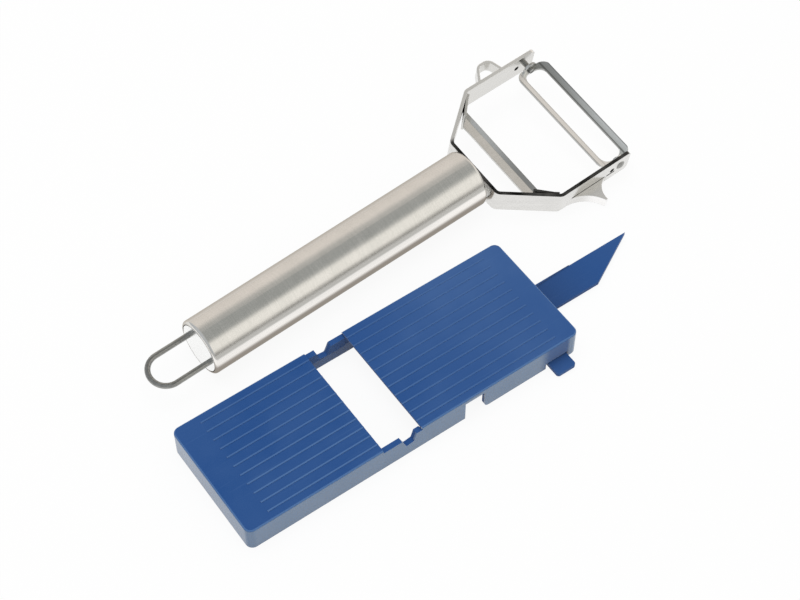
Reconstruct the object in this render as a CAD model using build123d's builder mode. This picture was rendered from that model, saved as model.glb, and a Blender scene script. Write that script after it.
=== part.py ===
"""Mandoline slicer: a ribbed slicing deck and the steel blade unit that drops into it.

The deck lies on the table with its slot open. The blade unit, a Y-shaped peeler with a
tubular handle, lies beside it, rolled over until its pointed scoop rests on the table.
Millimetres, +Z up. The origin is on the deck's foot, in the middle of the end wall of the
short plate. +X runs along the deck to its long plate, and -Y is the side with the latch.
"""

import os
from math import asin, atan2, cos, degrees, hypot, radians, sin, tan

from build123d import *

os.makedirs("parts", exist_ok=True)

# Slicing deck: outer shell
deck_length = 142.4
deck_width = 50.0
deck_height = 11.7
deck_corner = 2.8
deck_edge = 0.8
plate = 2.3
skirt = 1.7

# Slot between the two plates, and the side walls that carry the blade there
short_plate = 55.8
slot_length = 16.4
wall_drop = 1.5
notch_axis_from_slot = 9.1
notch_short = 1.2
notch_heel = 0.6
notch_floor = 3.9
notch_long = 5.0
notch_shallow = 4.0
notch_deep = 4.5
notch_round = 0.6
rail_thickness = 0.5
rail_height = 4.8
slot_bevel = 1.4

# Food ribs on both plates
rib_count = 11
rib_pitch = 4.3
rib_width = 0.6
rib_height = 0.2
short_rib_margin = 10.2
long_rib_margin = 8.6

# Gaps in the skirts that let the blade unit's frame through
gap_from_slot = 19.1
gap_length = 8.7
gap_round = 2.0

# Thickness tongue and its two grooved guides under the long plate
tongue_width = 12.4
tongue_offset = -0.7
tongue_thickness = 1.6
tongue_floor = 0.9
tongue_reach = 47.3
tongue_slant = 22.9
tongue_inside = 29.0
tongue_out = 4.0
lip_height = 0.5
lip_width = 0.9
lip_reach = 20.0
stop_height = 1.4
stop_length = 3.0
guide_setback = 6.4
guide_wall = 2.6
groove_depth = 1.1
slide_gap = 0.2

# Latch that slides across the deck against the tongue
latch_width = 8.4
latch_from_end = 9.4
latch_reach = 5.9
latch_corner = 1.2
latch_out = 4.0
nose_width = 4.0
nose_gap = 0.3
window_margin = 0.8

# Handle of the blade unit
tube_length = 127.6
tube_front_radius = 11.6
tube_rear_radius = 11.1
tube_wall = 0.7
front_round = 1.2
rear_round = 1.2
cap_thickness = 2.5
cap_stand = 1.4
neck_diameter = 10.0
cap_gap = 0.3
fit_gap = 0.05

# Hanging loop
loop_wire = 2.2
loop_spread = 13.2
loop_reach = 22.0
loop_seat = 2.0

# Head frame: one bent band
band_width = 10.8
band_thickness = 1.4
base_half = 13.9
arm_half = 29.1
diagonal_run = 20.5
head_length = 55.6
band_bend = 2.6
arm_end_round = 1.6

# Eye tools: a pointed scoop, pressed out of the near arm's lower edge beside a short slit,
# and a round loop on the outside of the far arm, level with its upper edge
eye_thickness = 1.0
eye_tuck = 0.3
slit_length = 4.2
slit_height = 0.8
point_start = 24.2
point_length = 20.2
point_tip = 13.1
point_reach = 9.0
point_height = 4.4
point_drop = 0.4
point_hollow = 2.2
round_start = 27.4
round_length = 11.6
round_rise = 4.2
round_top = 5.4
round_reach = 6.4
round_height = 5.2
round_bend = 3.0

# Rivet between the frame and the front cap
rivet_shank = 4.0
rivet_head = 6.6
rivet_head_height = 1.1

# Cross bar between the diagonals, with a raised front lip and a bent tab at each end
bar_from_base = 13.9
bar_width = 5.2
bar_thickness = 1.0
bar_tilt = -8.0
bar_lip = 1.6
bar_lift = 0.9
tab_length = 7.5
tab_foot = 2.0
tab_inset = 0.7
tab_bend = 1.0
tab_height = 10.0

# Swivel blade and its pivots
pivot_from_end = 4.3
blade_chord = 15.4
blade_thickness = 0.9
blade_camber = 1.4
blade_corner = 4.2
front_bar = 2.9
rear_bar = 2.7
end_bar = 2.0
blade_slot_corner = 3.6
ear_radius = 3.2
near_play = 0.3
far_play = 2.6
pivot_diameter = 2.2
pivot_clearance = 0.05
pivot_depth = 1.8
pivot_head = 4.0
pivot_head_height = 0.8
spare_hole = 2.2
spare_hole_pitch = 4.4

# Where the blade unit lies beside the deck
unit_ahead = 11.3
unit_aside = 31.0
unit_heading = 3.3

# Room either side of a place when its edges are picked out
pick_room = 0.2

# Deck: places worked out from the sizes above
deck_left = -skirt / 2
deck_right = deck_left + deck_length
deck_middle = (deck_left + deck_right) / 2
half_width = deck_width / 2
underside = deck_height - plate
slot_left = deck_left + short_plate
slot_right = slot_left + slot_length
slot_middle = (slot_left + slot_right) / 2
inner_width = deck_width - 2 * skirt
wall_top = deck_height - wall_drop
notch_axis = slot_left + notch_axis_from_slot
gap_left = slot_right + gap_from_slot
gap_right = gap_left + gap_length

tongue_top = tongue_floor + tongue_thickness
tongue_near = tongue_offset - tongue_width / 2
tongue_far = tongue_offset + tongue_width / 2
tongue_start = deck_right - tongue_inside
tongue_tip = deck_right + tongue_reach
groove_floor = tongue_floor - slide_gap
groove_roof = tongue_top + lip_height + slide_gap
guide_start = slot_right + guide_setback
guide_length = deck_right - skirt - guide_start
groove_gap = tongue_width + 2 * slide_gap
guide_gap = groove_gap - 2 * groove_depth
guide_outer = guide_gap + 2 * guide_wall

latch_middle = deck_right - latch_from_end
latch_nose = tongue_near - nose_gap
guide_near = tongue_offset - guide_outer / 2
latch_shoulder = guide_near - slide_gap
latch_groove_gap = latch_width + 2 * slide_gap
latch_guide_outer = latch_groove_gap + 2 * (guide_wall - groove_depth)

# Slicing deck: a shell open below, with two ribbed plates and the slot between them
with BuildPart() as slicing_deck:
    with BuildSketch():
        with Locations((deck_middle, 0)):
            RectangleRounded(deck_length, deck_width, deck_corner)
    extrude(amount=deck_height)
    fillet(slicing_deck.faces().sort_by(Axis.Z)[-1].edges(), radius=deck_edge)
    with BuildSketch():
        with Locations((deck_middle, 0)):
            RectangleRounded(deck_length - 2 * skirt, inner_width, deck_corner - skirt)
    extrude(amount=underside, mode=Mode.SUBTRACT)

    # the slot runs from side wall to side wall, and the walls beside it stand lower
    with BuildSketch():
        with Locations((slot_middle, 0)):
            Rectangle(slot_length, inner_width)
    extrude(amount=deck_height, mode=Mode.SUBTRACT)
    with BuildSketch(Plane.XY.offset(wall_top)):
        with Locations((slot_middle, 0)):
            Rectangle(slot_length, deck_width)
    extrude(amount=wall_drop, mode=Mode.SUBTRACT)
    chamfer(
        slicing_deck.edges()
        .filter_by(Axis.Y)
        .filter_by_position(Axis.X, slot_right - pick_room, slot_right + pick_room)
        .filter_by_position(Axis.Z, underside - pick_room, underside + pick_room),
        length=slot_bevel,
    )

    # rails that thicken the walls where the blade rests, with a notch through each, steep
    # on one side and turned end for end from wall to wall
    with BuildSketch(Plane.XY.offset(wall_top - rail_height)):
        with Locations((slot_middle, 0)):
            Rectangle(slot_length, inner_width)
            Rectangle(slot_length, inner_width - 2 * rail_thickness, mode=Mode.SUBTRACT)
    extrude(amount=rail_height)
    for side in (-1, 1):
        with BuildSketch(Plane.XZ):
            with BuildLine():
                notch_line = FilletPolyline(
                    (notch_axis - side * notch_long, wall_top),
                    (notch_axis - side * notch_floor, wall_top - notch_shallow),
                    (notch_axis - side * notch_heel, wall_top - notch_deep),
                    (notch_axis + side * notch_short, wall_top),
                    radius=notch_round,
                )
                Line(notch_line @ 1, notch_line @ 0)
            make_face()
        extrude(amount=-side * half_width, mode=Mode.SUBTRACT)

    # gaps in both skirts, with a rounded foot on the side away from the slot
    with BuildSketch(Plane.XZ):
        with Locations((gap_left, 0)):
            Rectangle(gap_length, underside, align=(Align.MIN, Align.MIN))
    extrude(amount=half_width, both=True, mode=Mode.SUBTRACT)
    fillet(
        slicing_deck.edges()
        .filter_by(Axis.Y)
        .filter_by_position(Axis.X, gap_right - pick_room, gap_right + pick_room)
        .filter_by_position(Axis.Z, -pick_room, pick_room),
        radius=gap_round,
    )

    # two grooved guides hold the tongue, and two shorter ones the latch
    with BuildSketch():
        with Locations((guide_start + guide_length / 2, tongue_offset)):
            Rectangle(guide_length, guide_outer)
            Rectangle(guide_length, guide_gap, mode=Mode.SUBTRACT)
        with Locations((latch_middle, (guide_near - half_width + skirt) / 2)):
            Rectangle(latch_guide_outer, guide_near + half_width - skirt)
            Rectangle(
                latch_groove_gap - 2 * groove_depth,
                guide_near + half_width - skirt,
                mode=Mode.SUBTRACT,
            )
    extrude(amount=underside)

    # the tongue's way through the guides and the end wall
    with BuildSketch(Plane.XY.offset(groove_floor)):
        with Locations((guide_start, tongue_offset)):
            Rectangle(
                deck_right - guide_start,
                groove_gap,
                align=(Align.MIN, Align.CENTER),
            )
    extrude(amount=groove_roof - groove_floor, mode=Mode.SUBTRACT)
    with BuildSketch():
        with Locations((deck_right - skirt, tongue_offset)):
            Rectangle(skirt, groove_gap, align=(Align.MIN, Align.CENTER))
    extrude(amount=groove_roof, mode=Mode.SUBTRACT)

    # the latch's way through the near skirt, and its nose's way through the near guide
    with BuildSketch(Plane.XY.offset(groove_floor)):
        with Locations((latch_middle, -half_width)):
            Rectangle(
                latch_groove_gap,
                guide_near + half_width,
                align=(Align.CENTER, Align.MIN),
            )
        with Locations((latch_middle, guide_near)):
            Rectangle(
                nose_width + 2 * slide_gap,
                guide_wall,
                align=(Align.CENTER, Align.MIN),
            )
    extrude(amount=groove_roof - groove_floor, mode=Mode.SUBTRACT)
    with BuildSketch():
        with Locations((latch_middle, -half_width)):
            Rectangle(
                latch_groove_gap + 2 * window_margin,
                skirt,
                align=(Align.CENTER, Align.MIN),
            )
    extrude(amount=groove_roof, mode=Mode.SUBTRACT)

    # food ribs
    with BuildSketch(Plane.XY.offset(deck_height)):
        with GridLocations(0, rib_pitch, 1, rib_count):
            with Locations((slot_left, 0)):
                Rectangle(
                    short_plate - short_rib_margin,
                    rib_width,
                    align=(Align.MAX, Align.CENTER),
                )
            with Locations((slot_right, 0)):
                Rectangle(
                    deck_right - slot_right - long_rib_margin,
                    rib_width,
                    align=(Align.MIN, Align.CENTER),
                )
    extrude(amount=rib_height)
slicing_deck.part.label = "slicing_deck"
export_step(slicing_deck.part, "parts/slicing_deck.step")

# Thickness tongue: a flat strip with a slanted point, a low lip and a stop
with BuildPart() as thickness_tongue:
    with BuildSketch(Plane.XY.offset(tongue_floor)):
        with BuildLine():
            Polyline(
                (tongue_start, tongue_near),
                (tongue_tip - tongue_slant, tongue_near),
                (tongue_tip, tongue_far),
                (tongue_start, tongue_far),
                close=True,
            )
        make_face()
    extrude(amount=tongue_thickness)
    with BuildSketch(Plane.XY.offset(tongue_top)):
        with BuildLine():
            Polyline(
                (tongue_start, tongue_far),
                (deck_right + lip_reach, tongue_far),
                (deck_right, tongue_far - lip_width),
                (tongue_start, tongue_far - lip_width),
                close=True,
            )
        make_face()
    extrude(amount=lip_height)
    with BuildSketch(Plane.XY.offset(tongue_top)):
        with Locations((deck_right - skirt - tongue_out - slide_gap, tongue_offset)):
            Rectangle(
                stop_length,
                guide_gap - 2 * slide_gap - 2 * lip_width,
                align=(Align.MAX, Align.CENTER),
            )
    extrude(amount=stop_height)
thickness_tongue.part.label = "thickness_tongue"
export_step(thickness_tongue.part, "parts/thickness_tongue.step")

# Latch: a flat slide with a thumb tab outside the skirt and a round nose at the tongue
with BuildPart() as latch:
    with BuildSketch(Plane.XY.offset(tongue_floor)):
        with Locations((latch_middle, -half_width - latch_reach)):
            Rectangle(
                latch_width,
                latch_shoulder + half_width + latch_reach,
                align=(Align.CENTER, Align.MIN),
            )
        with Locations((latch_middle, latch_shoulder)):
            Rectangle(
                nose_width,
                latch_nose - nose_width / 2 - latch_shoulder,
                align=(Align.CENTER, Align.MIN),
            )
        with Locations((latch_middle, latch_nose - nose_width / 2)):
            Circle(nose_width / 2)
    extrude(amount=tongue_thickness)
    fillet(
        latch.edges().filter_by(Axis.Z).group_by(Axis.Y)[0],
        radius=latch_corner,
    )
    with BuildSketch(Plane.XY.offset(tongue_top)):
        with Locations((latch_middle, skirt - half_width + latch_out + slide_gap)):
            Rectangle(
                latch_groove_gap - 2 * groove_depth - 2 * slide_gap,
                stop_length,
                align=(Align.CENTER, Align.MIN),
            )
    extrude(amount=stop_height)
latch.part.label = "latch"
export_step(latch.part, "parts/latch.step")

# Blade unit: its own plane, x along the handle to the blade, y across the head.
# It rolls about the handle until the lower eye loop's tip touches the table.
tip_aside = arm_half + point_reach
tip_below = band_width / 2 + point_drop
unit_roll = degrees(
    asin(tube_front_radius / hypot(tip_aside, tip_below)) - atan2(tip_below, tip_aside)
)
unit_x_dir = (cos(radians(unit_heading)), sin(radians(unit_heading)), 0)
unit_z_dir = (
    sin(radians(unit_heading)) * sin(radians(unit_roll)),
    -cos(radians(unit_heading)) * sin(radians(unit_roll)),
    cos(radians(unit_roll)),
)
unit = Plane(
    origin=(deck_right + unit_ahead, half_width + unit_aside, tube_front_radius),
    x_dir=unit_x_dir,
    z_dir=unit_z_dir,
)
across = Plane(origin=unit.origin, x_dir=unit.x_dir, z_dir=-unit.y_dir)
along = Plane(origin=unit.origin, x_dir=unit.y_dir, z_dir=unit.x_dir)
tube_axis = Axis(unit.origin, unit.x_dir)


def dome_radius(width, height):
    """Radius of the sphere whose cap is this wide and this high."""
    return (width * width / 4 + height * height) / (2 * height)


# Handle tube: slightly tapered, with its ends rolled in
with BuildPart() as handle_tube:
    with BuildSketch(across) as tube_section:
        with BuildLine():
            Polyline(
                (-cap_stand, 0),
                (-cap_stand, tube_front_radius),
                (-tube_length, tube_rear_radius),
                (-tube_length, 0),
                close=True,
            )
        make_face()
        fillet(tube_section.vertices().sort_by(Axis.Y)[-1], front_round)
        fillet(tube_section.vertices().group_by(Axis.X)[0].sort_by(Axis.Y)[-1], rear_round)
        offset(amount=-tube_wall, mode=Mode.SUBTRACT)
        with BuildLine():
            Polyline(
                (-cap_stand, 0),
                (-cap_stand, tube_front_radius - front_round),
                (-tube_length, tube_rear_radius - rear_round),
                (-tube_length, 0),
                close=True,
            )
        make_face(mode=Mode.SUBTRACT)
    revolve(axis=tube_axis)
handle_tube.part.label = "handle_tube"
export_step(handle_tube.part, "parts/handle_tube.step")

# Front cap: closes the tube, with a neck for the frame's base and a bore for its rivet
with BuildPart() as front_cap:
    with BuildSketch(along.offset(-cap_stand)):
        Circle(tube_front_radius - front_round - cap_gap)
    extrude(amount=-cap_thickness)
    with BuildSketch(along):
        Circle(neck_diameter / 2)
    extrude(amount=-cap_stand)
    with BuildSketch(along):
        Circle(rivet_shank / 2 + fit_gap)
    extrude(amount=-cap_stand - cap_thickness, mode=Mode.SUBTRACT)
front_cap.part.label = "front_cap"
export_step(front_cap.part, "parts/front_cap.step")

# Rear cap: closes the tube and holds the two legs of the loop
with BuildPart() as rear_cap:
    with BuildSketch(along.offset(-tube_length)):
        Circle(tube_rear_radius - rear_round - cap_gap)
        with GridLocations(loop_spread, 0, 2, 1):
            Circle(loop_wire / 2 + fit_gap, mode=Mode.SUBTRACT)
    extrude(amount=cap_thickness)
rear_cap.part.label = "rear_cap"
export_step(rear_cap.part, "parts/rear_cap.step")

# Hanging loop: one bent wire
with BuildPart() as hanging_loop:
    loop_turn = -tube_length - loop_reach + loop_wire / 2 + loop_spread / 2
    loop_root = -tube_length + loop_seat
    with BuildLine(unit):
        far_leg = Line((loop_root, loop_spread / 2), (loop_turn, loop_spread / 2))
        CenterArc((loop_turn, 0), loop_spread / 2, 90, 180)
        Line((loop_turn, -loop_spread / 2), (loop_root, -loop_spread / 2))
    with BuildSketch(Plane(origin=far_leg @ 0, z_dir=far_leg % 0)):
        Circle(loop_wire / 2)
    sweep()
hanging_loop.part.label = "hanging_loop"
export_step(hanging_loop.part, "parts/hanging_loop.step")

# Head frame: a band bent round the head, with an eye tool on each arm
base_middle = band_thickness / 2
pivot_place = head_length - pivot_from_end
with BuildPart() as head_frame:
    with BuildSketch(unit):
        with BuildLine():
            FilletPolyline(
                (head_length, arm_half),
                (diagonal_run, arm_half),
                (base_middle, base_half),
                (base_middle, -base_half),
                (diagonal_run, -arm_half),
                (head_length, -arm_half),
                radius=band_bend,
            )
        trace(line_width=band_thickness)
    extrude(amount=band_width / 2, both=True)
    fillet(
        head_frame.edges().filter_by(Axis((0, 0, 0), unit.y_dir)).group_by(tube_axis)[-1],
        radius=arm_end_round,
    )
    # pointed scoop: a window in the arm, two hollow walls in front of it and a roof
    with BuildSketch(unit.offset(-tip_below)):
        with Locations((point_start + point_length / 2, -arm_half)):
            Rectangle(point_length, 2 * band_thickness)
    extrude(amount=point_height - eye_thickness / 2, mode=Mode.SUBTRACT)
    with BuildSketch(unit.offset(-tip_below)):
        with BuildLine():
            point_foot = (point_start - eye_tuck, -arm_half)
            point_top = (point_start + point_tip, eye_thickness / 2 - tip_aside)
            point_heel = (point_start + point_length + eye_tuck, -arm_half)
            SagittaArc(point_foot, point_top, point_hollow)
            SagittaArc(point_top, point_heel, point_hollow)
        trace(line_width=eye_thickness)
        with Locations((point_start + point_tip, -tip_aside)):
            Rectangle(point_length, point_reach, align=(Align.CENTER, Align.MAX), mode=Mode.SUBTRACT)
    extrude(amount=point_height)
    with BuildSketch(unit.offset(point_height - tip_below)):
        with BuildLine():
            SagittaArc(point_foot, point_top, point_hollow)
            SagittaArc(point_top, point_heel, point_hollow)
            Line(point_heel, point_foot)
        make_face()
    extrude(amount=-eye_thickness)
    with BuildSketch(unit.offset(point_height - tip_below)):
        with Locations((point_start + point_length, -arm_half)):
            Rectangle(slit_length, 2 * band_thickness, align=(Align.MIN, Align.CENTER))
    extrude(amount=-slit_height, mode=Mode.SUBTRACT)
    # round loop
    with BuildSketch(unit.offset(band_width / 2)):
        with BuildLine():
            FilletPolyline(
                (round_start, arm_half),
                (round_start + round_rise, arm_half + round_reach),
                (round_start + round_rise + round_top, arm_half + round_reach),
                (round_start + round_length, arm_half),
                radius=round_bend,
            )
        trace(line_width=eye_thickness)
    extrude(amount=-round_height)
    # holes for the pivots, the spare holes behind them and the rivet
    with BuildSketch(across):
        with Locations((pivot_place, 0)):
            Circle(pivot_diameter / 2 + fit_gap)
        with Locations((pivot_place - spare_hole_pitch, 0)):
            Circle(spare_hole / 2)
    extrude(amount=arm_half + band_thickness, both=True, mode=Mode.SUBTRACT)
    with BuildSketch(along):
        Circle(rivet_shank / 2 + fit_gap)
    extrude(amount=band_thickness, mode=Mode.SUBTRACT)
head_frame.part.label = "head_frame"
export_step(head_frame.part, "parts/head_frame.step")

# Rivet: holds the frame's base on the front cap
with BuildPart() as frame_rivet:
    with BuildSketch(across):
        rivet_top = band_thickness + rivet_head_height
        with BuildLine():
            Polyline(
                (rivet_top, 0),
                (-cap_stand - cap_thickness, 0),
                (-cap_stand - cap_thickness, rivet_shank / 2),
                (band_thickness, rivet_shank / 2),
                (band_thickness, rivet_head / 2),
            )
            RadiusArc(
                (band_thickness, rivet_head / 2),
                (rivet_top, 0),
                dome_radius(rivet_head, rivet_head_height),
            )
        make_face()
    revolve(axis=tube_axis)
frame_rivet.part.label = "frame_rivet"
export_step(frame_rivet.part, "parts/frame_rivet.step")

# Cross bar: a lipped strip that stops short of the diagonals, with a tab at each end that
# runs forward to a foot on the diagonal's inner face
diagonal_angle = atan2(arm_half - base_half, diagonal_run - base_middle)
diagonal_dir = Vector(cos(diagonal_angle), sin(diagonal_angle))
inward_dir = Vector(sin(diagonal_angle), -cos(diagonal_angle))
bar_on_diagonal = Vector(
    bar_from_base,
    base_half + (bar_from_base - base_middle) * tan(diagonal_angle),
)
tab_line = bar_on_diagonal + inward_dir * (band_thickness + bar_thickness) / 2
tab_tip = tab_line + diagonal_dir * tab_length
tab_heel = tab_tip - diagonal_dir * tab_foot
bar_end = tab_line + inward_dir * tab_inset
tab_dir = (tab_heel - bar_end).normalized()
tab_back = bar_end - tab_dir * (bar_width / 2)
bar_front = bar_end + tab_dir * bar_width
bar_back = bar_end - tab_dir * bar_width
with BuildPart() as cross_bar:
    with BuildSketch(across):
        with Locations(Location((bar_from_base, 0), bar_tilt)):
            Polygon(
                (-bar_width / 2, -bar_thickness / 2),
                (bar_width / 2 - bar_lip, -bar_thickness / 2),
                (bar_width / 2, bar_lift - bar_thickness / 2),
                (bar_width / 2, bar_lift + bar_thickness / 2),
                (bar_width / 2 - bar_lip, bar_thickness / 2),
                (-bar_width / 2, bar_thickness / 2),
                align=None,
            )
    extrude(amount=arm_half, both=True)
    with BuildSketch(unit):
        with BuildLine():
            Polyline(
                bar_back,
                bar_front,
                (bar_front.X, -bar_front.Y),
                (bar_back.X, -bar_back.Y),
                close=True,
            )
        make_face()
    extrude(amount=bar_width, both=True, mode=Mode.INTERSECT)
    with BuildSketch(unit):
        with BuildLine():
            FilletPolyline(tab_back, tab_heel, tab_tip, radius=tab_bend)
        trace(line_width=bar_thickness)
        mirror(about=Plane.XZ)
    extrude(amount=tab_height / 2, both=True)
cross_bar.part.label = "cross_bar"
export_step(cross_bar.part, "parts/cross_bar.step")

# Swivel blade: a cambered strip with a long slot, and a pivot ear at each end. It has slid
# along its pins to the near arm, which lies lower
arm_inside = arm_half - band_thickness / 2
blade_near = near_play - arm_inside
blade_far = arm_inside - far_play
blade_length = blade_far - blade_near
blade_middle = (blade_near + blade_far) / 2
blade_slot = blade_chord - front_bar - rear_bar
with BuildPart() as swivel_blade:
    with BuildSketch(across.offset(-blade_middle)):
        with BuildLine():
            ThreePointArc(
                (pivot_place - blade_chord / 2, blade_camber / 2),
                (pivot_place, -blade_camber / 2),
                (pivot_place + blade_chord / 2, blade_camber / 2),
            )
        trace(line_width=blade_thickness)
    extrude(amount=blade_length / 2, both=True)
    with BuildSketch(unit):
        with Locations((pivot_place, blade_middle)):
            RectangleRounded(blade_chord, blade_length, blade_corner)
        with Locations((pivot_place + (rear_bar - front_bar) / 2, blade_middle)):
            RectangleRounded(
                blade_slot,
                blade_length - 2 * end_bar,
                blade_slot_corner,
                mode=Mode.SUBTRACT,
            )
    extrude(amount=blade_chord, both=True, mode=Mode.INTERSECT)
    for side, blade_end in ((-1, blade_near), (1, blade_far)):
        with BuildSketch(across.offset(-blade_end)):
            with Locations((pivot_place, 0)):
                Circle(ear_radius)
        extrude(amount=side * blade_thickness)
    with BuildSketch(across):
        with Locations((pivot_place, 0)):
            Circle(pivot_diameter / 2 + pivot_clearance)
    extrude(amount=arm_inside, both=True, mode=Mode.SUBTRACT)
swivel_blade.part.label = "swivel_blade"
export_step(swivel_blade.part, "parts/swivel_blade.step")

# Pivot pins: one domed pin in each arm, which the blade's ears turn on
arm_outside = arm_half + band_thickness / 2
pins = ((-1, blade_near, "pivot_pin_near"), (1, blade_far, "pivot_pin_far"))
for side, blade_end, pin_name in pins:
    pin_end = blade_end - side * pivot_depth
    pivot_axis = Axis(unit.from_local_coords((pivot_place, 0, 0)), unit.y_dir)
    with BuildPart() as pivot_pin:
        with BuildSketch(unit):
            with BuildLine():
                Polyline(
                    (pivot_place, side * (arm_outside + pivot_head_height)),
                    (pivot_place, pin_end),
                    (pivot_place + pivot_diameter / 2, pin_end),
                    (pivot_place + pivot_diameter / 2, side * arm_outside),
                    (pivot_place + pivot_head / 2, side * arm_outside),
                )
                RadiusArc(
                    (pivot_place + pivot_head / 2, side * arm_outside),
                    (pivot_place, side * (arm_outside + pivot_head_height)),
                    -side * dome_radius(pivot_head, pivot_head_height),
                )
            make_face()
        revolve(axis=pivot_axis)
    pivot_pin.part.label = pin_name
    export_step(pivot_pin.part, f"parts/{pin_name}.step")
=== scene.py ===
# %% [markdown]
# # A small mandoline slicer and its blade unit
#
# The object has two loose items. One is a slicing deck, moulded in blue plastic, with a
# pull-out tongue and a small latch. The other is its blade unit, a steel peeler with a
# tubular handle. Their shapes come ready made from the CAD model, so this lesson is about
# light and finish: a white table, a soft studio, moulded plastic, and steel that is
# brushed, rolled or ground.

# %% Load the CAD model as the frame
import math

import bpy
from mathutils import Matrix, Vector

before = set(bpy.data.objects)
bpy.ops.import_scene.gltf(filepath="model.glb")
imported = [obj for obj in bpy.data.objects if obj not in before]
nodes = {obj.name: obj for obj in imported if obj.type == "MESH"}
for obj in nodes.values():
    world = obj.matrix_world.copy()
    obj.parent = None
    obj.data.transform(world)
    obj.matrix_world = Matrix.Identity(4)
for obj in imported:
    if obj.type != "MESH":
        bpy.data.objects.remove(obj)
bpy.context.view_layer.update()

# %% [markdown]
# ## The camera
#
# The picture was taken with a long lens from the front left, more than half way up to
# straight above. A long lens keeps the far end of the deck nearly as wide as the near end.
# The camera is placed by the point that it looks at, two angles and a distance, because
# those four can each be tuned without upsetting the others.

# %% Camera at the picture's viewing angle
LOOK_AT = Vector((0.10151, 0.03082, 0.0))
AZIMUTH, ELEVATION = math.radians(-35.376), math.radians(54.777)
DISTANCE = 0.70048
SENSOR_WIDTH, FOCAL_LENGTH = 36.0, 84.33
NEAREST_SEEN = 0.01

camera_back = Vector((
    math.sin(AZIMUTH) * math.cos(ELEVATION),
    -math.cos(AZIMUTH) * math.cos(ELEVATION),
    math.sin(ELEVATION),
))
camera_data = bpy.data.cameras.new("camera")
camera_data.sensor_width = SENSOR_WIDTH
camera_data.lens = FOCAL_LENGTH
camera_data.clip_start = NEAREST_SEEN
camera = bpy.data.objects.new("camera", camera_data)
camera.location = LOOK_AT + camera_back * DISTANCE
camera.rotation_mode = "QUATERNION"
camera.rotation_quaternion = (-camera_back).to_track_quat("-Z", "Y")
bpy.context.scene.collection.objects.link(camera)
bpy.context.scene.camera = camera
bpy.context.scene.view_settings.view_transform = "Standard"
print("camera at mm:", [round(1000 * x) for x in camera.location])

# %% [markdown]
# ## Writing shader maths in Python
#
# A finish is a small network of nodes. Wiring each sum by hand hides what it means, so one
# class wraps a node's output and lets Python's own signs add the Math nodes. A second class
# holds the node tree and has a single method that adds any other node. Colours never go
# through a Math node, which would turn them grey: they are mixed.
#
# Most of the work is done by masks, which are 1 where something shows and 0 elsewhere. A
# mask starts or ends over a short stretch, so its limits are written as a pair of values.


# %% Sockets that can be added, multiplied and mixed
class Wire:
    """An output socket. Sums with it add Math nodes to its tree."""

    def __init__(self, finish, socket):
        self.finish = finish
        self.socket = socket

    def math(self, operation, first, second):
        return self.finish.node("Math", {"operation": operation}, {0: first, 1: second})

    def __add__(self, other):
        return self.math("ADD", self, other)

    def __radd__(self, other):
        return self.math("ADD", other, self)

    def __sub__(self, other):
        return self.math("SUBTRACT", self, other)

    def __rsub__(self, other):
        return self.math("SUBTRACT", other, self)

    def __mul__(self, other):
        return self.math("MULTIPLY", self, other)

    def __rmul__(self, other):
        return self.math("MULTIPLY", other, self)

    def larger(self, other):
        return self.math("MAXIMUM", self, other)

    def size(self):
        """The number without its sign."""
        return self.math("ABSOLUTE", self, 0.0)

    def rise(self, low, high):
        """0 below low, 1 above high and a smooth slope between them."""
        return self.finish.node(
            "MapRange",
            {"interpolation_type": "SMOOTHSTEP"},
            {"Value": self, "From Min": low, "From Max": high},
        )

    def fall(self, low, high):
        """1 below low, 0 above high and a smooth slope between them."""
        return 1.0 - self.rise(low, high)

    def between(self, start, end):
        """A rise over the pair start, and a fall over the pair end."""
        return self.rise(*start) * self.fall(*end)

    def mix(self, dark, light):
        """The colour dark where this is 0, and light where it is 1."""
        return self.finish.node(
            "Mix", {"data_type": "RGBA"}, {0: self, 6: dark, 7: light}, output=2
        )

    def dot(self, other):
        return self.finish.node(
            "VectorMath", {"operation": "DOT_PRODUCT"}, {0: self, 1: other}, output="Value"
        )

    def axis(self, name):
        """The X, Y or Z of a vector."""
        return self.finish.node("SeparateXYZ", {}, {"Vector": self}, output=name)


class Finish:
    """A node tree, and the one method that adds nodes to it."""

    def __init__(self, tree):
        self.tree = tree

    def feed(self, socket, value):
        if isinstance(value, Wire):
            self.tree.links.new(value.socket, socket)
        else:
            socket.default_value = value

    def node(self, kind, settings, inputs, output=0):
        made = self.tree.nodes.new("ShaderNode" + kind)
        for name, value in settings.items():
            setattr(made, name, value)
        for name, value in inputs.items():
            self.feed(made.inputs[name], value)
        return Wire(self, made.outputs[output])

    def noise(self, place, scale, detail):
        """Cloudy values from 0 to 1, with more clouds for a larger scale."""
        return self.node("TexNoise", {}, {"Vector": place, "Scale": scale, "Detail": detail})


def rgba(red, green, blue):
    return (red, green, blue, 1.0)


def surface(name, **inputs):
    """A new material: its finish, and a function that feeds its surface shader."""
    material = bpy.data.materials.new(name)
    material.use_nodes = True
    finish = Finish(material.node_tree)
    shader = material.node_tree.nodes["Principled BSDF"]

    def give(**values):
        for key, value in values.items():
            finish.feed(shader.inputs[key.replace("_", " ")], value)

    give(**inputs)
    return material, finish, give


print("shader helpers ready")

# %% [markdown]
# ## The table and the studio
#
# The object lies on a white table. A lit white floor would need so much light that the
# colours on it would wash out, so the floor is partly its own white where the camera, or a
# reflection, looks at it. The rest of it is an ordinary matt surface and keeps the soft
# shadow of the object.

# %% White table
FLOOR_SIZE = 4.0
FLOOR_DROP = 0.00005
FLOOR_PAINT, FLOOR_GLOW = rgba(0.92, 0.92, 0.92), rgba(1.0, 1.0, 1.0)
OWN_WHITE = 0.92

bpy.ops.object.select_all(action="DESELECT")
bpy.ops.mesh.primitive_plane_add(size=FLOOR_SIZE, location=(LOOK_AT.x, LOOK_AT.y, -FLOOR_DROP))
floor = bpy.context.object
floor.name = "table_top"

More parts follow.
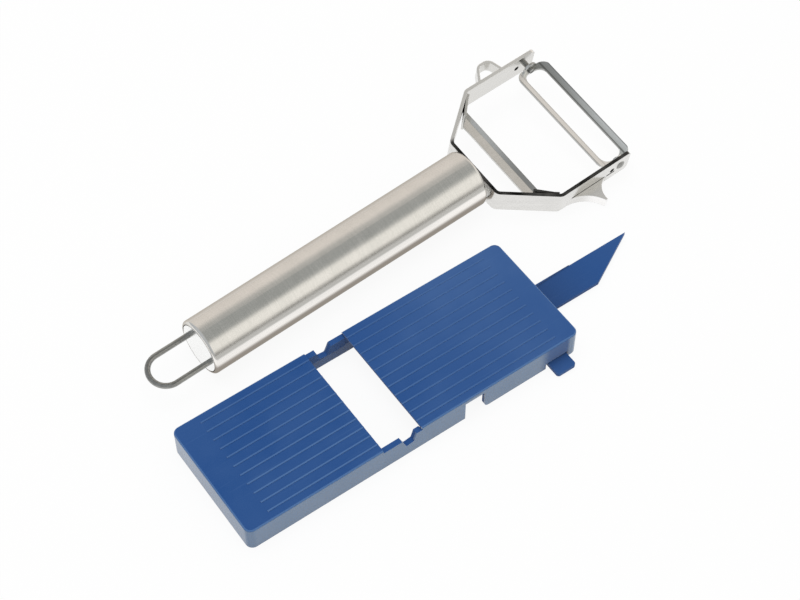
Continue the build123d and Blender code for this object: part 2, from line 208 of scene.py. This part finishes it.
floor_material = bpy.data.materials.new("white_table")
floor_material.use_nodes = True
floor_nodes = floor_material.node_tree.nodes
floor_nodes.remove(floor_nodes["Principled BSDF"])
floor_finish = Finish(floor_material.node_tree)
seen_by_camera, seen_in_gloss, seen_through = [
    floor_finish.node("LightPath", {}, {}, output=f"Is {ray} Ray")
    for ray in ("Camera", "Glossy", "Transmission")
]
looked_at = seen_by_camera.larger(seen_in_gloss).larger(seen_through)
floor_shader = floor_finish.node(
    "MixShader",
    {},
    {
        0: looked_at * OWN_WHITE,
        1: floor_finish.node("BsdfDiffuse", {}, {"Color": FLOOR_PAINT}),
        2: floor_finish.node("Emission", {}, {"Color": FLOOR_GLOW, "Strength": 1.0}),
    },
)
floor_finish.feed(floor_nodes["Material Output"].inputs["Surface"], floor_shader)
floor.data.materials.append(floor_material)
print("table top:", FLOOR_SIZE, "m square")

# %% [markdown]
# Steel shows what stands round it, so the room matters as much as the metal. A studio for
# small shiny things has a pale warm wall behind the object, a dim ceiling, a wide bright
# panel at the front and a softer, cooler one on the left. Panels could be built as glowing
# planes, but those would stand in the way when the part is seen from other sides. Here the
# room is the world's colour, in bands of height. There is one set of bands for the back and
# one for the front, blended by how far to the back a ray looks.

# %% Studio room
CEILING = rgba(0.36, 0.37, 0.36)
BACK_WALL = rgba(0.80, 0.75, 0.70)
FRONT_DIM = rgba(0.34, 0.33, 0.31)
FRONT_PANEL = rgba(0.98, 0.96, 0.91)
LEFT_PANEL = rgba(0.53, 0.55, 0.57)
# heights, from 0 at eye level to 1 straight above
BACK_WALL_TOP = (0.62, 0.97)
PANEL_FOOT, PANEL_TOP = (0.06, 0.34), (0.70, 0.88)
# where one side of the room blends into the other
FRONT_TO_BACK, LEFT_TO_RIGHT = (-0.12, 0.12), (-0.15, 0.10)

world = bpy.data.worlds.new("studio")
bpy.context.scene.world = world
world.use_nodes = True
room = Finish(world.node_tree)
look = room.node("TexCoord", {}, {}, output="Generated")
look_up = look.axis("Z")
back_room = look_up.rise(*BACK_WALL_TOP).mix(BACK_WALL, CEILING)
front_low = look_up.rise(*PANEL_FOOT).mix(FRONT_DIM, FRONT_PANEL)
front_room = look_up.rise(*PANEL_TOP).mix(front_low, CEILING)
whole_room = look.axis("Y").rise(*FRONT_TO_BACK).mix(front_room, back_room)
room_colour = look.axis("X").rise(*LEFT_TO_RIGHT).mix(LEFT_PANEL, whole_room)
room_light = world.node_tree.nodes["Background"]
room.feed(room_light.inputs["Color"], room_colour)
room.feed(room_light.inputs["Strength"], 1.0)
print("studio room:", len(world.node_tree.nodes), "nodes")

# %% [markdown]
# The room gives a soft light from all round. One wide square lamp above adds a little more
# to the faces that look up. A small lamp would do that too, but with hard shadows. The lamp
# is hidden from reflections, so that the steel shows only the room.

# %% Top light
LAMP_PLACE = Vector((0.0, 0.15, 1.2))
LAMP_SIZE, LAMP_POWER = 0.9, 7.0

lamp = bpy.data.lights.new("top_light", "AREA")
lamp.size = LAMP_SIZE
lamp.energy = LAMP_POWER
lamp_object = bpy.data.objects.new("top_light", lamp)
lamp_object.location = LAMP_PLACE
lamp_object.rotation_euler = (LOOK_AT - LAMP_PLACE).to_track_quat("-Z", "Y").to_euler()
lamp_object.visible_glossy = False
bpy.context.scene.collection.objects.link(lamp_object)
print("top light:", LAMP_POWER, "W")

# %% [markdown]
# ## Moulded blue plastic
#
# The deck, the tongue and the latch are injection moulded. The mould leaves a very fine,
# even grain and a half gloss, the colour drifts a little where the melt cooled, and edges
# that hands and boards rub turn paler and shinier. Images could be painted for all that, but
# noise on Object coordinates needs no unwrapping and suits all three pieces. A Bevel node
# finds the edges by comparing a rounded normal with the flat one, so no extra geometry is
# needed.

# %% Grain, scuffs and edges of the plastic
BEVEL_SAMPLES = 6
DRIFT_SCALE, GRAIN_SCALE = 55.0, 2400.0
SCUFF_STRETCH, SCUFFED = (30.0, 1500.0, 400.0), (0.60, 0.72)
PLASTIC_EDGE, PLASTIC_EDGE_TURN = 0.00045, (0.015, 0.22)


def worn_edges(finish, radius, turn):
    """Two wires: the rounded normal, and a mask that is 1 along sharp edges."""
    rounded = finish.node("Bevel", {"samples": BEVEL_SAMPLES}, {"Radius": radius})
    flat = finish.node("NewGeometry", {}, {}, output="Normal")
    return rounded, (1.0 - rounded.dot(flat)).rise(*turn)


deck_blue, plastic, give_plastic = surface(
    "deck_blue", Specular_IOR_Level=0.05, Coat_Roughness=0.22, Coat_IOR=1.9
)
place = plastic.node("TexCoord", {}, {}, output="Object")
along, across, height = [place.axis(name) for name in "XYZ"]
upward = plastic.node("NewGeometry", {}, {}, output="Normal").axis("Z")
drift = plastic.noise(place, DRIFT_SCALE, detail=3.0)
grain = plastic.noise(place, GRAIN_SCALE, detail=2.0)
stretched = plastic.node("Mapping", {}, {"Vector": place, "Scale": SCUFF_STRETCH})
scuffs = plastic.noise(stretched, scale=1.0, detail=4.0).rise(*SCUFFED)
edges = worn_edges(plastic, PLASTIC_EDGE, PLASTIC_EDGE_TURN)[1]
print("plastic:", deck_blue.name, "with", len(plastic.tree.nodes), "nodes so far")

# %% [markdown]
# The walls of the deck are shinier than its top, less so on the end walls, and a paler,
# greener blue on them is a painted reflection. A patch by the latch gets neither, as painted
# shade. A lamp could give that from one side only. Masks by place and direction pick out the
# walls instead, and a coat of gloss will go on there. The deck's own box says where its outer
# faces are. Inside the slot, only the walls below the rails shine.

# %% Masks for the glossy walls, their painted reflection and the latch's painted shade
deck_points = [vertex.co for vertex in nodes["slicing_deck"].data.vertices]
DECK_LEFT = min(point.x for point in deck_points)
DECK_RIGHT = max(point.x for point in deck_points)
DECK_MIDDLE, HALF_LENGTH = (DECK_LEFT + DECK_RIGHT) / 2, (DECK_RIGHT - DECK_LEFT) / 2
HALF_WIDTH = max(point.y for point in deck_points)
OUTER_SIDE = (HALF_WIDTH - 0.0009, HALF_WIDTH - 0.0004)
OUTER_END = (HALF_LENGTH - 0.0010, HALF_LENGTH - 0.0004)
OUTER_CORNER = (HALF_WIDTH + HALF_LENGTH - 0.0034, HALF_WIDTH + HALF_LENGTH - 0.0028)
PAST_SIDE = (HALF_WIDTH + 0.0003, HALF_WIDTH + 0.0006)
PAST_END = (HALF_LENGTH + 0.0003, HALF_LENGTH + 0.0006)
# places across the deck, along it and above the table
NEAR_WALL, END_WALL_FADE = (0.020, 0.024), (-0.022, 0.034)
SLOT_FACE, SLOT_BACK = (0.0225, 0.0227), (0.0234, 0.0236)
SLOT_START, SLOT_END = (0.0535, 0.0545), (0.0740, 0.0780)
LATCH_SHADE_START, LATCH_SHADE_END = (0.1235, 0.1290), (0.1362, 0.1380)
BELOW_RAIL, RAIL_FOOT = (0.0049, 0.0054), (0.0054, 0.0058)
# how far up a face looks, from 0 on a wall to 1 on a floor
STEEP = (0.10, 0.60)
LATCH_SHADE_LOSS, SLOT_SHARE = 0.85, 0.34

aside, endways = across.size(), (along - DECK_MIDDLE).size()
steep = upward.fall(*STEEP)
at_end = endways.rise(*OUTER_END)
outside = aside.rise(*OUTER_SIDE).larger(at_end).larger((aside + endways).rise(*OUTER_CORNER))
on_shell = aside.fall(*PAST_SIDE) * endways.fall(*PAST_END)
# painted shade round the latch: there the walls lose their gloss and their tint
latch_painted_shade = (0.0 - across).rise(*NEAR_WALL) * along.between(LATCH_SHADE_START, LATCH_SHADE_END)
end_wall = at_end * across.fall(*END_WALL_FADE)
in_slot = steep * aside.between(SLOT_FACE, SLOT_BACK) * along.between(SLOT_START, SLOT_END)
rail_face = in_slot * height.rise(*RAIL_FOOT)
slot_wall = in_slot * height.fall(*BELOW_RAIL)
outer_wall = steep * outside * on_shell * (1.0 - LATCH_SHADE_LOSS * latch_painted_shade)
upright = outer_wall.larger(SLOT_SHARE * slot_wall)
print("deck:", round(2000 * HALF_LENGTH, 1), "x", round(2000 * HALF_WIDTH, 1), "mm")

# %% [markdown]
# Food and hands rub the deck's sharp edges and scuff its plates. The rim round the plates and
# the ribs get a painted highlight, a light line where light catches them. The ribs show most
# on the near side and on the short plate, and their flanks most on the long one. The inner
# faces of the rails that the blade sits on are paler. The ribs are real geometry and not a
# bump in the material, so the mask only has to ask for the height.

# %% Masks for the rubbed edges, the paler rails and the painted highlights on rim and ribs
RIB_HEIGHT = 0.0002
PLATE_TOP = max(point.z for point in deck_points) - RIB_HEIGHT
RIM_FOOT = (PLATE_TOP - 0.0012, PLATE_TOP - 0.0008)
RIB_FOOT = (PLATE_TOP + 0.00001, PLATE_TOP + 0.00006)
# how far up the rim and the flanks of the ribs look
RIM_START, RIM_END, FLANK_TURN = (0.25, 0.50), (0.88, 0.985), (0.2, 0.6)
# places along the deck and across it, and how much each mark lightens
FLANK_RISE, RIB_TO_RIGHT, RIB_TO_FAR = (0.065, 0.095), (0.045, 0.110), (-0.014, 0.020)
FLANK_HIGHLIGHT, FLANK_GAIN = 0.55, 0.45
RIB_HIGHLIGHT, RIB_FAR_LOSS, RIB_RIGHT_LOSS = 0.62, 0.24, 0.58
EDGE_RUB, SCUFF_RUB, RIM_HIGHLIGHT, RAIL_PALER = 0.14, 0.08, 0.80, 0.30

# painted highlight along the rim round the plates
rim_highlight = upward.between(RIM_START, RIM_END) * height.rise(*RIM_FOOT)
# painted highlight on the ribs' tops and flanks
rib_flank_highlight = (FLANK_HIGHLIGHT + FLANK_GAIN * along.rise(*FLANK_RISE)) * upward.fall(*FLANK_TURN)
rib_top_highlight = RIB_HIGHLIGHT - RIB_FAR_LOSS * across.rise(*RIB_TO_FAR)
rib_top_highlight = rib_top_highlight * (1.0 - RIB_RIGHT_LOSS * along.rise(*RIB_TO_RIGHT))
ribs_highlight = height.rise(*RIB_FOOT) * rib_flank_highlight.larger(rib_top_highlight)
# wear on the edges and scuffs, painted highlights on ribs and rim, and paler rail faces
wear_and_highlight = (EDGE_RUB * edges).larger(ribs_highlight).larger(SCUFF_RUB * scuffs)
wear_and_highlight = wear_and_highlight.larger(RIM_HIGHLIGHT * rim_highlight).larger(RAIL_PALER * rail_face)
print("plates at", round(1000 * PLATE_TOP, 1), "mm, ribs", round(1000 * RIB_HEIGHT, 1), "mm high")

# %% [markdown]
# Now the masks can mix the colours. The long plate is paler than the short one, most on the
# far side, which is a painted reflection. The tongue is darker, and darkest at its root, where
# it comes out of the deck, which is painted shade. Such slow changes could be painted on the
# vertices, but a flat face of a CAD model has them only at its corners, so they are masks by
# place too.

# %% Colours of the blue plastic
DEEP_BLUE, PALE_BLUE = rgba(0.020, 0.076, 0.250), rgba(0.053, 0.122, 0.305)
# a paler blue for wear, and for the painted highlights on rim and ribs
WEAR_AND_HIGHLIGHT_BLUE = rgba(0.100, 0.200, 0.410)
WALL_REFLECTION_BLUE = rgba(0.018, 0.112, 0.245)
ROOT_SHADE_BLUE = rgba(0.026, 0.062, 0.172)
# places along and across the deck, and out along the tongue
REFLECTION_TO_RIGHT, REFLECTION_TO_FAR = (0.050, 0.120), (-0.020, 0.020)
TONGUE_START, TONGUE_ROOT, TONGUE_TIP = (0.1414, 0.1418), (0.140, 0.172), (0.165, 0.200)
# where the two noises start to show, and how much of each tone, roughness and gloss
DRIFTED, GRAINY = (0.3, 0.7), (0.40, 0.62)
DRIFT_SHARE, REFLECTION_SHARE, GRAIN_SHARE, WALL_REFLECTION_SHARE = 0.30, 0.70, 0.16, 0.8
REFLECTION_NEAR, TONGUE_DEEP, TIP_LOSS, ROOT_SHADE_SHARE = 0.6, 0.75, 0.6, 0.7
MATT, GRAIN_ROUGHNESS, RUB_ROUGHNESS = 0.34, 0.10, 0.08
GLOSS, GLOSS_DRIFT, END_LOSS = 0.94, 0.3, 0.22
GRAIN_STRENGTH, GRAIN_DEPTH = 0.12, 0.00012

# painted reflection: the long plate is made paler, most on the far side
reflection_to_far = REFLECTION_NEAR + (1.0 - REFLECTION_NEAR) * across.rise(*REFLECTION_TO_FAR)
painted_reflection = along.rise(*REFLECTION_TO_RIGHT) * reflection_to_far
on_tongue = along.rise(*TONGUE_START)
# painted shade at the tongue's root, where it comes out of the deck
tongue_root_shade = on_tongue * along.fall(*TONGUE_ROOT)
tongue_deep = on_tongue * (TONGUE_DEEP - TIP_LOSS * along.rise(*TONGUE_TIP))
blue = (DRIFT_SHARE * drift.rise(*DRIFTED) + REFLECTION_SHARE * painted_reflection).mix(DEEP_BLUE, PALE_BLUE)
blue = tongue_deep.mix(blue, DEEP_BLUE)
blue = (ROOT_SHADE_SHARE * tongue_root_shade).mix(blue, ROOT_SHADE_BLUE)
blue = (GRAIN_SHARE * grain.rise(*GRAINY)).mix(blue, PALE_BLUE)
# painted reflection: a paler, greener blue on the walls
blue = (WALL_REFLECTION_SHARE * upright).mix(blue, WALL_REFLECTION_BLUE)
give_plastic(
    Base_Color=wear_and_highlight.mix(blue, WEAR_AND_HIGHLIGHT_BLUE),
    Roughness=MATT + GRAIN_ROUGHNESS * (grain - 0.5) + RUB_ROUGHNESS * (scuffs - edges),
    Coat_Weight=upright * (GLOSS + GLOSS_DRIFT * (drift - 0.5) - END_LOSS * end_wall),
    Normal=plastic.node(
        "Bump", {}, {"Strength": GRAIN_STRENGTH, "Distance": GRAIN_DEPTH, "Height": grain}
    ),
)
print("plastic:", deck_blue.name, "with", len(plastic.tree.nodes), "nodes")

# %% [markdown]
# ## Steel
#
# Several finishes of steel meet in the blade unit. The handle tube is brushed, its caps are
# bright, the head is rolled strip, the loop is drawn wire and the blade is ground. All are
# pure metal for the shader. What sets them apart is the tone, the roughness and the direction
# of their fine lines, and those lines are one noise texture pulled out long in a chosen
# direction. The blade unit lies turned and rolled on the table, so the places on it are
# measured along its own three axes.

# %% Steel with fine lines
HANDLE_PLACE = Vector((0.15285, 0.0560, 0.0116))
HANDLE_TURN, HANDLE_ROLL = math.radians(3.3), math.radians(8.86)
HANDLE_AHEAD = Vector((math.cos(HANDLE_TURN), math.sin(HANDLE_TURN), 0.0))
HANDLE_UP = Vector((
    math.sin(HANDLE_TURN) * math.sin(HANDLE_ROLL),
    -math.cos(HANDLE_TURN) * math.sin(HANDLE_ROLL),
    math.cos(HANDLE_ROLL),
))
HANDLE_ACROSS = HANDLE_UP.cross(HANDLE_AHEAD)
STEEL_EDGE, STEEL_EDGE_TURN = 0.00025, (0.02, 0.30)
CLOUD_SCALE, SPECK_SCALE = 140.0, 1500.0
LINE_SHARE, CLOUD_SHARE, SPECK_SHARE = 0.4, 0.3, 0.3
MOTTLED = (0.30, 0.70)
LINE_ROUGHNESS, CLOUD_ROUGHNESS, EDGE_POLISH = 0.08, 0.06, 0.05
LINE_HEIGHT = 0.00005


class Steel:
    """Steel with fine lines. Its tone and roughness can be changed before it is closed."""

    def __init__(self, name, colour, shade, roughness, line_stretch, edge_colour=rgba(1, 1, 1)):
        self.material, self.finish, self.give = surface(
            name, Metallic=1.0, Specular_Tint=edge_colour
        )
        finish = self.finish
        self.place = finish.node("TexCoord", {}, {}, output="Object")
        self.facing = finish.node("NewGeometry", {}, {}, output="Normal")
        self.rounded, worn = worn_edges(finish, STEEL_EDGE, STEEL_EDGE_TURN)
        turned = finish.node(
            "Mapping", {}, {"Vector": self.place, "Rotation": (0.0, 0.0, -HANDLE_TURN)}
        )
        pulled = finish.node("Mapping", {}, {"Vector": turned, "Scale": line_stretch})
        self.lines = finish.noise(pulled, scale=1.0, detail=5.0)
        self.cloud = finish.noise(self.place, CLOUD_SCALE, detail=3.0)
        speck = finish.noise(self.place, SPECK_SCALE, detail=2.0)
        mottle = LINE_SHARE * self.lines + CLOUD_SHARE * self.cloud + SPECK_SHARE * speck
        self.tone = mottle.rise(*MOTTLED).mix(shade, colour)
        self.rough = (
            roughness
            + LINE_ROUGHNESS * (self.lines - 0.5)
            + CLOUD_ROUGHNESS * (self.cloud - 0.5)
            - EDGE_POLISH * worn
        )

    def distance(self, direction):
        """How far a point lies from the handle's end, along one of the handle's axes."""
        return self.place.dot(direction) - HANDLE_PLACE.dot(direction)

    def tint(self, mask, colour, share=1.0):
        """Mix a share of the colour into the tone where the mask is 1."""
        self.tone = (share * mask).mix(self.tone, colour)

    def close(self, line_depth):
        relief = {"Distance": LINE_HEIGHT, "Height": self.lines, "Normal": self.rounded}
        bump = self.finish.node("Bump", {}, {"Strength": line_depth, **relief})
        self.give(Base_Color=self.tone, Roughness=self.rough, Normal=bump)
        print("steel:", self.material.name, "with", len(self.finish.tree.nodes), "nodes")
        return self.material


print("handle turned", round(math.degrees(HANDLE_TURN), 1), "degrees")

# %% [markdown]
# The handle tube is brushed round and round, so its lines are pulled out across it. Its tone
# changes in bands from the crown to the underside: a painted reflection on the far flank, a
# dark and a bright painted reflection on the near flank, and painted shade on the underside.
# A finer room could reflect such bands, but every other piece would show them too, so they are
# tinted by the way the tube faces.

# %% Brushed tube
# how far to the back, and how far up, each band looks
FACES_BACK, FACES_FRONT = (0.40, 0.60), (-0.5, -0.3)
DARK_REFLECTION_START, DARK_REFLECTION_END = (0.29, 0.38), (0.47, 0.57)
BRIGHT_REFLECTION_END, UNDERSIDE_END = (0.27, 0.36), (-0.06, 0.15)

tube = Steel(
    "tube_steel",
    colour=rgba(0.86, 0.84, 0.81),
    shade=rgba(0.74, 0.73, 0.70),
    roughness=0.21,
    line_stretch=(2600.0, 40.0, 40.0),
    edge_colour=rgba(0.62, 0.59, 0.55),
)
tube_up, tube_back = tube.facing.axis("Z"), tube.facing.axis("Y")
tube_front = tube_back.fall(*FACES_FRONT)
# painted reflections: a dark band and a bright band on the near flank
painted_dark_reflection = tube_up.between(DARK_REFLECTION_START, DARK_REFLECTION_END) * tube_front
painted_bright_reflection = tube_up.fall(*BRIGHT_REFLECTION_END) * tube_front
# painted reflection on the far flank
tube.tint(tube_back.rise(*FACES_BACK), rgba(0.66, 0.62, 0.57))
tube.tint(painted_dark_reflection, rgba(0.44, 0.43, 0.40), share=0.75)
tube.tint(painted_bright_reflection, rgba(0.98, 0.95, 0.91), share=0.9)
# painted shade on the underside
tube.tint(tube_up.fall(*UNDERSIDE_END), rgba(0.32, 0.29, 0.26), share=0.95)
tube_steel = tube.close(line_depth=0.10)

# %% [markdown]
# The head is one bent band. Its cut edges are painted dark, as painted shade, and so are the
# faces inside the holes and the slit of its arms. Only along the far side are the edges bright,
# as a painted highlight. The far arm is a little darker than the rest of the band, and the
# scoop on the near arm gets a painted highlight that makes it a little brighter. A second
# material would need each of those faces to be picked out, so masks find them by height, side
# and direction instead.

# %% Bent band
ARM_ASIDE, HALF_BAND = 0.0291, 0.0008
ARM_SKIN = HALF_BAND + 0.0001
# places to the side of the handle's axis and above it
FAR_EDGES, FAR_ARM, SCOOP = (0.0135, 0.0155), (0.016, 0.028), (0.0305, 0.0345)
BAND_TOP, UNDER_TOP = (0.0034, 0.0040), (0.0030, 0.0034)
# how far up the edges and the walls of the holes look
EDGE_FACES_UP, HOLE_FACES_UP = (0.75, 0.92), (0.30, 0.60)
# how dark the painted shade on an edge is, how much that drifts, and how much rougher it is
EDGE_SHADE, EDGE_SHADE_DRIFT, CUT_ROUGHNESS = 0.93, 0.5, 0.12

strip = Steel(
    "strip_steel",
    colour=rgba(0.82, 0.81, 0.79),
    shade=rgba(0.70, 0.69, 0.67),
    roughness=0.22,
    line_stretch=(60.0, 60.0, 2200.0),
)
sideways, upwards = strip.distance(HANDLE_ACROSS), strip.distance(HANDLE_UP)
face_up = strip.facing.dot(HANDLE_UP)
far_side = sideways.rise(*FAR_EDGES)
top_edge = face_up.rise(*EDGE_FACES_UP) * upwards.rise(*BAND_TOP)
in_arm = (sideways.size() - ARM_ASIDE).size().fall(HALF_BAND, ARM_SKIN)
# painted shade inside the holes and the slit of the arms
hole_shade = in_arm * face_up.rise(*HOLE_FACES_UP) * upwards.fall(*UNDER_TOP)
shaded_edge = (top_edge * (1.0 - far_side)).larger(hole_shade)
strip.tint(sideways.rise(*FAR_ARM), rgba(0.70, 0.69, 0.66), share=0.7)
# painted highlight on the scoop
strip.tint((0.0 - sideways).rise(*SCOOP), rgba(0.98, 0.97, 0.96))
# painted highlight on the edges along the far side
strip.tint(top_edge * far_side, rgba(0.97, 0.96, 0.94))
# painted shade, nearly black, on the cut edges and the hole walls
painted_edge_shade = shaded_edge * (EDGE_SHADE + EDGE_SHADE_DRIFT * (strip.cloud - 0.5))
strip.tint(painted_edge_shade, rgba(0.012, 0.012, 0.012))
strip.rough = strip.rough + CUT_ROUGHNESS * shaded_edge
strip_steel = strip.close(line_depth=0.12)

# %% [markdown]
# The smaller pieces need less. One finish could serve them all, but each has a tone of its
# own. The caps in the ends of the tube are bright and even, and the wire of the loop and the
# pins are dull. The lip of the cross bar is darker towards the near side, and the tab at that
# end gets painted shade on its top edge, as the band's edge beside it does.

# %% Caps, wire and cross bar
# where the bar bends up into its lip, and places to the side of the handle's axis
BAR_BEND = (0.0147, 0.0151)
NEAR_LIP, NEAR_TAB = (-0.012, 0.012), (0.0, 0.010)

cap = Steel(
    "cap_steel",
    colour=rgba(0.98, 0.98, 0.97),
    shade=rgba(0.94, 0.94, 0.93),
    roughness=0.25,
    line_stretch=(900.0, 900.0, 900.0),
)
cap_steel = cap.close(line_depth=0.05)

bar = Steel(
    "bar_steel",
    colour=rgba(0.76, 0.75, 0.73),
    shade=rgba(0.63, 0.63, 0.60),
    roughness=0.28,
    line_stretch=(60.0, 1800.0, 1800.0),
)
bar_across = bar.distance(HANDLE_ACROSS)
near_lip = bar.distance(HANDLE_AHEAD).rise(*BAR_BEND) * bar_across.fall(*NEAR_LIP)
# painted shade on the top edge of the near tab
painted_tab_shade = bar.distance(HANDLE_UP).rise(*BAND_TOP) * bar_across.fall(*NEAR_TAB)
bar.tint(near_lip, rgba(0.390, 0.385, 0.365))
bar.tint(painted_tab_shade, rgba(0.03, 0.03, 0.028), share=0.9)
bar_steel = bar.close(line_depth=0.15)

loop_wire = Steel(
    "wire_steel",
    colour=rgba(0.42, 0.42, 0.40),
    shade=rgba(0.24, 0.24, 0.23),
    roughness=0.34,
    line_stretch=(60.0, 1200.0, 1200.0),
)
wire_steel = loop_wire.close(line_depth=0.15)

# %% [markdown]
# The blade is ground along its length. Its back bar is a little darker, and its front bar turns
# from bright at the near end to dark at the far one, which is painted shade. Thin lines beside
# the edges show where the grinding stops. They could be cut as grooves, but they are a change
# of tone and not of form, so they are tinted. One loop draws the four of them, by their
# distance from the handle's end.

# %% Ground blade
# places ahead of the handle's end and to the side of its axis
FRONT_HALF, FAR_END = (0.0473, 0.0533), (-0.020, 0.024)
# each line's distance from the handle's end, and how dark it is
GROUND_LINES = {0.0562: 0.75, 0.0588: 0.55, 0.0438: 0.45, 0.0462: 0.25}
LINE_WIDTH = (0.00015, 0.00055)

blade = Steel(
    "blade_steel",
    colour=rgba(0.98, 0.985, 0.97),
    shade=rgba(0.84, 0.85, 0.83),
    roughness=0.26,
    line_stretch=(1800.0, 40.0, 1800.0),
)
ahead = blade.distance(HANDLE_AHEAD)
front_half = ahead.rise(*FRONT_HALF)
# painted shade towards the far end of the front bar
painted_far_shade = blade.distance(HANDLE_ACROSS).rise(*FAR_END)
blade.tint(1.0 - front_half, rgba(0.72, 0.72, 0.71), share=0.6)
blade.tint(front_half * painted_far_shade, rgba(0.40, 0.40, 0.385), share=0.9)
for line, darkness in GROUND_LINES.items():
    on_line = (ahead - line).size().fall(*LINE_WIDTH)
    blade.tint(on_line, rgba(0.16, 0.16, 0.15), share=darkness)
blade_steel = blade.close(line_depth=0.20)

# %% [markdown]
# ## Dressing the nodes
#
# Each CAD node keeps its own mesh and only changes its material. The list is by finish, so
# that a new node has to be given one on purpose. The blue pieces are kept out of the
# reflections, because blue streaks would hide the finish of the steel.

# %% Give each node its finish
DRESS = {
    deck_blue: ("slicing_deck", "thickness_tongue", "latch"),
    tube_steel: ("handle_tube",),
    strip_steel: ("head_frame", "frame_rivet"),
    cap_steel: ("front_cap", "rear_cap"),
    bar_steel: ("cross_bar",),
    wire_steel: ("hanging_loop", "pivot_pin_near", "pivot_pin_far"),
    blade_steel: ("swivel_blade",),
}
for material, names in DRESS.items():
    for name in names:
        nodes[name].data.materials.clear()
        nodes[name].data.materials.append(material)
for name in DRESS[deck_blue]:
    nodes[name].visible_glossy = False
print("dressed:", sum(len(names) for names in DRESS.values()), "of", len(nodes))
